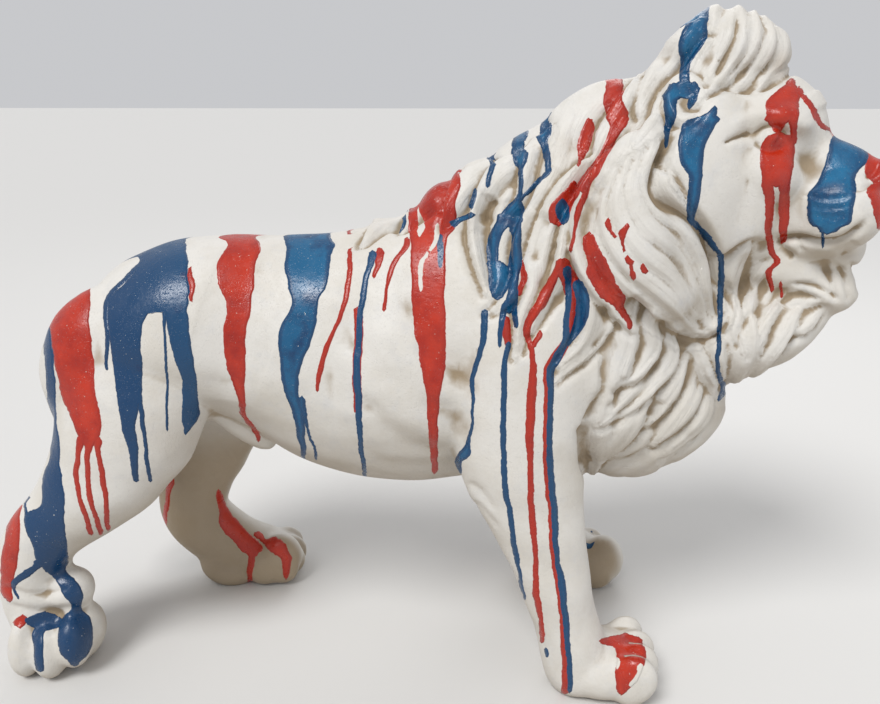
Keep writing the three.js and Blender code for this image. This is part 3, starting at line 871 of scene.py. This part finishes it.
# slits where the paint parted and the white shows
GAPS = [
    [(688, 14, 2), (680, 15, 4), (670, 13, 2)],
    [(684, 33, 2), (672, 33, 3), (660, 31, 3), (650, 26, 2)],
    [(648, 22, 2), (637, 15, 3), (618, 13, 3), (600, 13, 2)],
    [(52, 296, 3), (44, 297, 4), (34, 297, 2)],
    [(42, 330, 2), (28, 334, 7), (16, 328, 6), (4, 324, 7)],
]
print(len(RED_RUNS), "red and", len(BLUE_RUNS), "blue runs")

# %% [markdown]
# ## The finish
# The cast is brushed with an off-white masonry paint, which keeps brush hairs and small pits. The
# poured enamel on top is glossier and stands a little proud, with a rounded edge. In the
# shader a curve gives a run's middle at each height and another its half width, and a point is
# painted where it is nearer to the middle than that. Three runs fit in the three channels of a
# pair of curves, and runs at different heights share a channel.

# %% Small tools for shaders
coat = bpy.data.materials.new("painted_cast_body")
coat.use_nodes = True
tree = coat.node_tree
tree.nodes.clear()


def add(kind, inputs=(), **settings):
    node = tree.nodes.new(kind)
    for name, value in settings.items():
        setattr(node, name, value)
    for key, value in dict(inputs).items():
        if isinstance(value, bpy.types.NodeSocket):
            tree.links.new(value, node.inputs[key])
        else:
            node.inputs[key].default_value = value
    return node


def maths(operation, *values, clamp=False):
    node = add("ShaderNodeMath", enumerate(values), operation=operation, use_clamp=clamp)
    return node.outputs[0]


def vectors(operation, *values):
    return add("ShaderNodeVectorMath", enumerate(values), operation=operation).outputs[0]


def noise(scale, detail, roughness=0.5, vector=None):
    inputs = {"Scale": scale, "Detail": detail, "Roughness": roughness, "Vector": vector or position}
    return add("ShaderNodeTexNoise", inputs).outputs["Fac"]


def remap(value, low, high, to_low=0.0, to_high=1.0, kind="SMOOTHSTEP"):
    inputs = {"Value": value, "From Min": low, "From Max": high, "To Min": to_low, "To Max": to_high}
    return add("ShaderNodeMapRange", inputs, interpolation_type=kind).outputs[0]


def mix_colour(amount, first, second):
    inputs = {"Factor": amount, 6: first, 7: second}
    return add("ShaderNodeMix", inputs, data_type="RGBA").outputs[2]


position = add("ShaderNodeTexCoord").outputs["Object"]
print("shader tools ready")

# %% Curves for the runs
LOWEST, TALL = -100, 1100
X_LEFT, X_SPAN = -700, 1400
THIN, W_SPAN = -20, 100


def share_channels(runs):
    channels = []
    for run in sorted(runs, key=lambda run: -run[0][0]):
        free = [channel for channel in channels if channel[-1][-1][0] - 24 > run[0][0]]
        if free:
            free[0].append(run)
        else:
            channels.append([run])
    return channels


def round_end(row, way):
    """Two more rows that close a run with a small rounded end."""
    z, x, width = row
    bulge = min(width, 9)
    return [(z + way * 0.6 * bulge, x, 0.75 * width), (z + way * (bulge + 1), x, -2)]


def draw_curve(curve, rows):
    rows = [(0, rows[0][1])] + rows + [(1, rows[-1][1])]
    curve.points[0].location, curve.points[1].location = rows[0], rows[-1]
    for row in rows[1:-1]:
        curve.points.new(*row)
    for point in curve.points:
        point.handle_type = "AUTO_CLAMPED"


def run_curves(channels, tall):
    """Two curve nodes, for the middles and the half widths of up to three channels."""
    outs = []
    for column, low, span in ((1, X_LEFT, X_SPAN), (2, THIN, W_SPAN)):
        node = add("ShaderNodeRGBCurve", {"Color": tall})
        for k, channel in enumerate(channels):
            rows = []
            for run in reversed(channel):
                ends = round_end(run[-1], -1)[::-1] + run[::-1] + round_end(run[0], 1)
                rows += [((row[0] - LOWEST) / TALL, (row[column] - low) / span) for row in ends]
            draw_curve(node.mapping.curves[k], rows)
        for k in range(len(channels), 3):
            draw_curve(node.mapping.curves[k], [(0.5, 0)])
        node.mapping.update()
        scale, shift = [span * MM] * 3, [low * MM] * 3
        outs.append(vectors("MULTIPLY_ADD", node.outputs["Color"], scale, shift))
    return outs


def reach_into(runs, x, z):
    """How far inside the nearest of the runs a point is, in metres."""
    height01 = maths("MULTIPLY_ADD", z, 1000 / TALL, -LOWEST / TALL)
    tall = add("ShaderNodeCombineXYZ", {0: height01, 1: height01, 2: height01}).outputs[0]
    wide = add("ShaderNodeCombineXYZ", {0: x, 1: x, 2: x}).outputs[0]
    channels, deepest = share_channels(runs), None
    for first in range(0, len(channels), 3):
        middle, half = run_curves(channels[first:first + 3], tall)
        away = vectors("ABSOLUTE", vectors("SUBTRACT", wide, middle))
        inside = add("ShaderNodeSeparateXYZ", {0: vectors("SUBTRACT", half, away)})
        for value in inside.outputs:
            deepest = value if deepest is None else maths("MAXIMUM", deepest, value)
    return deepest


def stored(name):
    """The three numbers that each point of the mesh keeps under this name."""
    found = add("ShaderNodeAttribute", attribute_name=name)
    return add("ShaderNodeSeparateXYZ", {0: found.outputs["Vector"]}).outputs


def on_layout(name):
    spot = stored(name)
    waver = maths("SUBTRACT", noise(38, 3), 0.5)
    jitter = maths("SUBTRACT", noise(210, 2), 0.5)
    x = maths("MULTIPLY_ADD", waver, 0.007, spot[0])
    x = maths("MULTIPLY_ADD", jitter, 0.0018, x)
    z = maths("MULTIPLY_ADD", jitter, 0.004, spot[1])
    closed = maths("MULTIPLY_ADD", spot[2], 0.2, -0.1)
    return x, z, closed


outer, inner = on_layout("drawing"), on_layout("inner_side")


def pour(outer_runs, inner_runs):
    depths = []
    for runs, (x, z, closed) in ((outer_runs, outer), (inner_runs, inner)):
        depths.append(maths("MINIMUM", reach_into(runs, x, z), closed))
    return maths("MAXIMUM", *depths)


red_depth = pour(RED_RUNS, INSIDE_RED)
blue_depth = pour(BLUE_RUNS, INSIDE_BLUE)
bare = remap(reach_into(GAPS, outer[0], outer[1]), -0.0004, 0.0005)
print("the runs share", len(share_channels(RED_RUNS)), "and", len(share_channels(BLUE_RUNS)), "channels")

# %% White coat and enamel
WHITE, WARM = (0.68, 0.655, 0.61, 1), (0.58, 0.54, 0.47, 1)
COOL, SHADE_AND_GRIME = (0.55, 0.55, 0.55, 1), (0.25, 0.17, 0.08, 1)
RED, DEEP_RED = (0.49, 0.029, 0.008, 1), (0.31, 0.012, 0.005, 1)
BLUE, DEEP_BLUE = (0.005, 0.130, 0.275, 1), (0.003, 0.031, 0.10, 1)

fold_deep, facing_down, shade_stain_mask = stored("fold_depth")
# painted shade: the white is darkened towards brown in folds, on surfaces that face down and inside the
# legs, together with dust and old stains
fold_shade_and_dust = remap(maths("MULTIPLY_ADD", noise(55, 4), 0.0014, fold_deep), 0.0008, 0.0034)
underside_shade = maths("MULTIPLY", facing_down, 0.55)
shade_and_dirt = maths("MAXIMUM", maths("MAXIMUM", maths("MULTIPLY", fold_shade_and_dust, 0.85), underside_shade), shade_stain_mask)
cloudy = remap(noise(9, 6, 0.65), 0.38, 0.66)
smudges = remap(noise(26, 6, 0.7), 0.5, 0.72)
white = mix_colour(maths("MULTIPLY", cloudy, 0.6), WHITE, WARM)
white = mix_colour(maths("MULTIPLY", smudges, 0.4), white, COOL)
white = mix_colour(shade_and_dirt, white, SHADE_AND_GRIME)

specks = remap(noise(330, 2), 0.72, 0.75)
covered = {}
for name, deep in (("red", red_depth), ("blue", blue_depth)):
    edge = remap(deep, -0.0004, 0.0005)
    chips = maths("MAXIMUM", bare, maths("MULTIPLY", specks, remap(deep, 0.004, 0.012)))
    covered[name] = maths("SUBTRACT", edge, chips, clamp=True)
streaks = remap(noise(24, 5, 0.65), 0.3, 0.75)
# painted shade: the enamel is darker near the edges of each run, as on a rounded bead
red_edge_shade, blue_edge_shade = (remap(deep, 0.003, 0.01, 1.0, 0.0) for deep in (red_depth, blue_depth))
red = mix_colour(maths("MAXIMUM", streaks, maths("MULTIPLY", red_edge_shade, 0.6)), RED, DEEP_RED)
# the blue was poured thicker, and dried darker, towards the tail
towards_tail = remap(outer[0], -0.4, 0.05, 0.9, 0.0)
blue_shade = maths("MAXIMUM", maths("MAXIMUM", streaks, towards_tail), maths("MULTIPLY", blue_edge_shade, 0.8))
blue = mix_colour(blue_shade, BLUE, DEEP_BLUE)
colour = mix_colour(covered["red"], white, red)
colour = mix_colour(covered["blue"], colour, blue)
wet = maths("MAXIMUM", covered["red"], covered["blue"])

aside, along_hair, hairy = stored("lock")
strand = add("ShaderNodeCombineXYZ", {
    0: maths("MULTIPLY", aside, 300), 1: maths("MULTIPLY", along_hair, 16),
}).outputs[0]
hairs = maths("MULTIPLY", noise(1, 2, 0.5, strand), hairy)
brushed = noise(130, 6, 0.6)
pits = remap(noise(420, 2), 0.28, 0.42)
grain = maths("MULTIPLY_ADD", hairs, 1.6, maths("MULTIPLY_ADD", pits, 0.35, brushed))
thick = maths("MAXIMUM", remap(red_depth, -0.0006, 0.003), remap(blue_depth, -0.0006, 0.003))
skin_relief = add("ShaderNodeBump", {"Height": grain, "Distance": 0.0011, "Strength": 0.6})
relief = add("ShaderNodeBump", {
    "Height": thick, "Distance": 0.0016, "Strength": 0.8, "Normal": skin_relief.outputs[0],
})
dull = remap(noise(60, 4), 0.3, 0.7, 0.5, 0.66)
glossy = remap(noise(45, 3), 0.3, 0.7, 0.22, 0.36)
roughness = add("ShaderNodeMix", {0: wet, 2: dull, 3: glossy}, data_type="FLOAT").outputs[0]
surface = add("ShaderNodeBsdfPrincipled", {
    "Base Color": colour, "Roughness": roughness, "Normal": relief.outputs[0],
})
add("ShaderNodeOutputMaterial", {"Surface": surface.outputs[0]})
lion.data.materials.clear()
lion.data.materials.append(coat)
print("coat of", len(tree.nodes), "nodes")

# %% [markdown]
# ## The studio
# The floor is plain and pale. A broad sun stands high behind the camera, on its left. A weak soft
# light fills in from the right, another touches the back from the far side, and a pale
# surrounding keeps the shadows open.

# %% Floor
bpy.ops.object.select_all(action="DESELECT")
bpy.ops.mesh.primitive_plane_add(size=60, location=at(0, 0, 0))
floor = bpy.context.object
floor.name = "studio_floor"
floor.data.transform(floor.matrix_world)
floor.matrix_world.identity()
pale = bpy.data.materials.new("pale_floor")
pale.use_nodes = True
pale.node_tree.nodes["Principled BSDF"].inputs["Base Color"].default_value = (0.66, 0.65, 0.63, 1)
pale.node_tree.nodes["Principled BSDF"].inputs["Roughness"].default_value = 0.8
floor.data.materials.append(pale)
floor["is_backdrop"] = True
print("floor at Z", round(at(0, 0, 0).z, 4))


# %% Lights
def soft_light(name, place, target, size, watts):
    lamp = bpy.data.lights.new(name, "AREA")
    lamp.size = size
    lamp.energy = watts
    stand = bpy.data.objects.new(name, lamp)
    stand.location = at(*place)
    stand.rotation_euler = (at(*target) - at(*place)).to_track_quat("-Z", "Y").to_euler()
    bpy.context.collection.objects.link(stand)
    return stand


sun = bpy.data.lights.new("key", "SUN")
sun.angle = math.radians(24)
sun.energy = 2.1
sun_stand = bpy.data.objects.new("key", sun)
sun_stand.rotation_euler = Vector((0.42, 0.62, -1)).to_track_quat("-Z", "Y").to_euler()
bpy.context.collection.objects.link(sun_stand)
soft_light("fill", (2300, -1900, 1100), (200, 0, 450), 1.8, 5)
soft_light("back", (600, 2200, 2400), (0, 0, 600), 1.6, 16)
surround = bpy.data.worlds.new("surround")
surround.use_nodes = True
surround.node_tree.nodes["Background"].inputs["Color"].default_value = (0.96, 0.97, 1.0, 1)
surround.node_tree.nodes["Background"].inputs["Strength"].default_value = 0.6
bpy.context.scene.world = surround
bpy.context.scene.view_settings.view_transform = "Standard"
print("three lights and a pale surrounding")

# %% Size and finish
low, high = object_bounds()
growth = [round((b - a) / MM, 1) for a, b in zip((*cad_low, *cad_high), (*low, *high))]
print("grown by, in millimetres:", growth)
